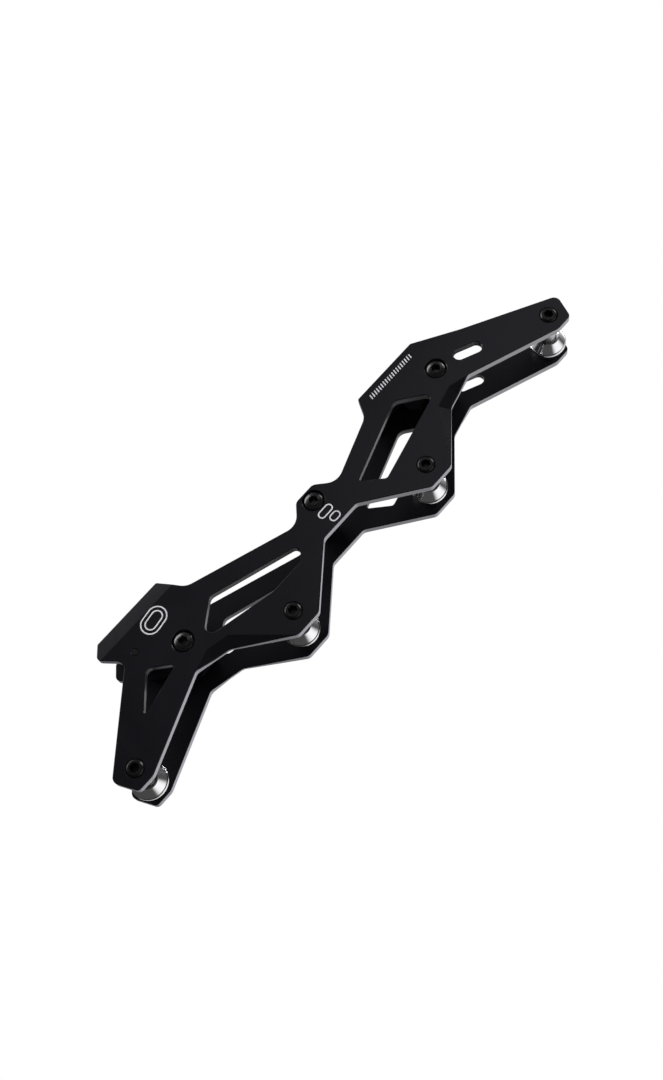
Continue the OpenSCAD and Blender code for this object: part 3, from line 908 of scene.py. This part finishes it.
class SKATE_OT_prints(bpy.types.Operator):
    """Print plain white marks on the outer face of the right plate"""

    bl_idname = "skate.prints"
    bl_label = "Printed marks"

    def ring(self, look, x, z, radius, stretch, tilt=0.0):
        """A flat ring, drawn out into a long link by stretch and tilted in the plate's plane."""
        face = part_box("right_side_plate")[0].y
        select_only()
        bpy.ops.mesh.primitive_circle_add(vertices=RING_CORNERS, radius=radius, fill_type="NGON",
                                          location=(x, face, z), rotation=(math.pi / 2, tilt, 0))
        piece = bpy.context.object
        for way in (-1, 1):
            pick_vertices(piece, lambda co: co.x * way > radius * RING_MIDDLE)
            bpy.ops.transform.translate(value=(way * stretch / 2, 0, 0), orient_type="LOCAL")
        bpy.ops.mesh.select_mode(type="FACE")
        bpy.ops.mesh.select_all(action="SELECT")
        bpy.ops.mesh.inset(thickness=look.line)
        bpy.ops.mesh.delete(type="FACE")
        bpy.ops.object.mode_set(mode="OBJECT")
        bpy.ops.object.transform_apply(location=True, rotation=True, scale=True)
        return piece

    def strokes(self, look, x, z):
        """A row of short slanting strokes along X, from x on, with their feet at z."""
        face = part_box("right_side_plate")[0].y
        middle = z + look.stroke_height / 2
        select_only()
        bpy.ops.mesh.primitive_plane_add(size=1, location=(x, face, middle), rotation=(math.pi / 2, 0, 0))
        piece = bpy.context.object
        piece.scale = (look.line, look.stroke_height, 1)
        bpy.ops.object.transform_apply(location=True, rotation=True, scale=True)
        pick_vertices(piece, lambda co: co.z > middle)
        bpy.ops.transform.translate(value=(STROKES_SLANT, 0, 0))
        bpy.ops.object.mode_set(mode="OBJECT")
        apply_modifier(piece, "ARRAY", count=STROKES_COUNT, use_relative_offset=False,
                       use_constant_offset=True, constant_offset_displace=(look.stroke_pitch, 0, 0))
        return piece

    def joined(self, name, pieces):
        """Join flat marks into one piece of that name."""
        select_only(*pieces)
        if len(pieces) > 1:
            bpy.ops.object.join()
        piece = bpy.context.object
        piece.name = piece.data.name = name
        return piece

    def execute(self, context):
        look = context.scene.skate_prints
        material = ink_material(look)
        prints = {
            "rear_flange_print": [self.ring(look, *FLANGE_LINK, radius, FLANGE_LINK_STRETCH, FLANGE_LINK_TILT)
                                  for radius in FLANGE_LINK_RADII],
            "middle_print": [self.ring(look, x, z, MIDDLE_LINK_RADIUS, stretch)
                             for x, z, stretch in MIDDLE_LINKS],
            "front_flange_print": [self.strokes(look, *STROKES_PLACE)],
        }
        for name, marks in prints.items():
            piece = self.joined(name, marks)
            apply_modifier(piece, "SOLIDIFY", thickness=look.film, offset=1.0)
            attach(piece, "frame")
            piece.data.materials.clear()
            piece.data.materials.append(material)
        return {"FINISHED"}


class SKATE_OT_stage(bpy.types.Operator):
    """Set the pale floor, the soft light and the camera"""

    bl_idname = "skate.stage"
    bl_label = "Floor, light and camera"

    def floor(self, look):
        """A pale floor that fades into the surround.

        It shows from above only, so that a camera below it sees the frame.
        """
        select_only()
        bpy.ops.mesh.primitive_plane_add(size=look.floor_size, location=(0, 0, CAD_BOX[0].z - FLOOR_GAP))
        plane = bpy.context.object
        plane.name = "pale_floor"
        bpy.ops.object.transform_apply(location=True, rotation=True, scale=True)
        material, tree, shader = new_material("Pale floor")
        shader.inputs["Roughness"].default_value = FLOOR_ROUGH
        grain = put_group(tree, "Blasted grain", blasted_group, (-700, 0),
                          {"Grains": FLOOR_GRAINS, "Clouds": FLOOR_CLOUDS})
        dark = tuple(FLOOR_DIMMING * tone for tone in look.floor_tone)
        tree.links.new(blend_colours(tree, (-200, 200), grain.outputs["Cloud"], dark, look.floor_tone),
                       shader.inputs["Base Color"])
        place = put(tree, "ShaderNodeTexCoord", (-200, 500))
        reach = put(tree, "ShaderNodeVectorMath", (0, 500), {"operation": "LENGTH"})
        fade = put(tree, "ShaderNodeMapRange", (200, 500), {"interpolation_type": "SMOOTHSTEP"},
                   {"From Min": look.floor_fade, "From Max": look.floor_end})
        behind = put(tree, "ShaderNodeNewGeometry", (200, 300))
        hidden = put(tree, "ShaderNodeMath", (450, 400), {"operation": "MAXIMUM"})
        clear = put(tree, "ShaderNodeBsdfTransparent", (700, -600))
        mix = put(tree, "ShaderNodeMixShader", (1000, 200))
        out = next(item for item in tree.nodes if item.type == "OUTPUT_MATERIAL")
        tree.links.new(place.outputs["Object"], reach.inputs[0])
        tree.links.new(reach.outputs["Value"], fade.inputs["Value"])
        tree.links.new(fade.outputs["Result"], hidden.inputs[0])
        tree.links.new(behind.outputs["Backfacing"], hidden.inputs[1])
        tree.links.new(hidden.outputs[0], mix.inputs[0])
        tree.links.new(shader.outputs[0], mix.inputs[1])
        tree.links.new(clear.outputs[0], mix.inputs[2])
        tree.links.new(mix.outputs[0], out.inputs[0])
        plane.data.materials.append(material)
        plane.visible_shadow = False
        plane.visible_glossy = False

    def lobe(self, tree, row, way, cone, low, high):
        """Brightness of the surround that rises from low to high around one direction."""
        start, full = cone
        ray = put(tree, "ShaderNodeTexCoord", (-1100, row))
        facing = put(tree, "ShaderNodeVectorMath", (-900, row), {"operation": "DOT_PRODUCT"})
        facing.inputs[1].default_value = way
        rise = put(tree, "ShaderNodeMapRange", (-700, row), {"interpolation_type": "SMOOTHSTEP"},
                   {"From Min": start, "From Max": full, "To Min": low, "To Max": high})
        tree.links.new(ray.outputs["Generated"], facing.inputs[0])
        tree.links.new(facing.outputs["Value"], rise.inputs["Value"])
        return rise.outputs["Result"]

    def surround(self, look):
        """A white surround for the camera, which lights the frame from the left, above, ahead and below."""
        world = bpy.data.worlds.new("Pale surround")
        world.use_nodes = True
        tree = world.node_tree
        shade = tree.nodes["Background"]
        shade.inputs["Strength"].default_value = look.sky
        brightest = put(tree, "ShaderNodeLightPath", (-700, 300)).outputs["Is Camera Ray"]
        lobes = (
            self.lobe(tree, 0, look.sky_way, SKY_CONE, look.sky_front, 1.0),
            self.lobe(tree, -300, (0, 0, 1), TOP_CONE, 0.0, look.sky_top),
            self.lobe(tree, -600, look.glow_way, GLOW_CONE, 0.0, look.glow),
            self.lobe(tree, -900, look.low_way, LOW_CONE, 0.0, look.low_glow),
        )
        for index, level in enumerate(lobes):
            higher = put(tree, "ShaderNodeMath", (-450 + 150 * index, 150), {"operation": "MAXIMUM"})
            tree.links.new(brightest, higher.inputs[0])
            tree.links.new(level, higher.inputs[1])
            brightest = higher.outputs[0]
        tree.links.new(brightest, shade.inputs["Color"])
        bpy.context.scene.world = world

    def lamp(self, name, place, size, power):
        """A soft light that faces the middle of the frame."""
        select_only()
        bpy.ops.object.light_add(type="AREA", location=place)
        light = bpy.context.object
        light.name = name
        light.data.shape = "RECTANGLE"
        light.data.size, light.data.size_y = size
        light.data.energy = power
        light.rotation_euler = (LAMP_AIM - Vector(place)).to_track_quat("-Z", "Y").to_euler()

    def execute(self, context):
        look = context.scene.skate_stage
        self.floor(look)
        self.surround(look)
        self.lamp("key_light", KEY_PLACE, KEY_SIZE, look.key_power)
        self.lamp("top_light", TOP_PLACE, TOP_SIZE, look.top_power)
        select_only()
        bpy.ops.object.camera_add(location=look.camera_place, rotation=look.camera_turn)
        camera = bpy.context.object
        camera.name = "photo_camera"
        camera.data.sensor_width = SENSOR_WIDTH
        camera.data.lens = look.camera_lens
        camera.data.clip_start, camera.data.clip_end = CAMERA_CLIP
        context.scene.camera = camera
        context.scene.view_settings.view_transform = "Standard"
        return {"FINISHED"}


class SKATE_PT_sidebar(bpy.types.Panel):
    """Sizes, colours and pieces of the skate frame"""

    bl_idname = "SKATE_PT_sidebar"
    bl_label = "Skate Frame"
    bl_space_type = "VIEW_3D"
    bl_region_type = "UI"
    bl_category = "Skate Frame"

    def draw(self, context):
        for name, label, _ in SETTINGS:
            box = self.layout.box()
            box.label(text=label)
            settings = getattr(context.scene, name)
            for key in settings.__class__.__annotations__:
                box.prop(settings, key)
        for step in STEPS:
            self.layout.operator(step.bl_idname)


SETTINGS = (
    ("skate_plates", "Plates and blocks", PlateSettings),
    ("skate_metals", "Bolts, axles and spacers", MetalSettings),
    ("skate_prints", "Printed marks", PrintSettings),
    ("skate_stage", "Stage", StageSettings),
)
STEPS = (
    SKATE_OT_side_plates,
    SKATE_OT_mount_blocks,
    SKATE_OT_bolts,
    SKATE_OT_dowels,
    SKATE_OT_axles,
    SKATE_OT_bearing_spacers,
    SKATE_OT_prints,
    SKATE_OT_stage,
)


def register():
    for name, _, group in SETTINGS:
        bpy.utils.register_class(group)
        setattr(bpy.types.Scene, name, PointerProperty(type=group))
    for step in (*STEPS, SKATE_PT_sidebar):
        bpy.utils.register_class(step)


def unregister():
    for step in (SKATE_PT_sidebar, *reversed(STEPS)):
        bpy.utils.unregister_class(step)
    for name, _, group in reversed(SETTINGS):
        delattr(bpy.types.Scene, name)
        bpy.utils.unregister_class(group)


def main():
    register()
    bpy.ops.skate.side_plates()
    bpy.ops.skate.mount_blocks()
    bpy.ops.skate.bolts()
    bpy.ops.skate.dowels()
    bpy.ops.skate.axles()
    bpy.ops.skate.bearing_spacers()
    bpy.ops.skate.prints()
    bpy.ops.skate.stage()


if __name__ == "__main__":
    main()
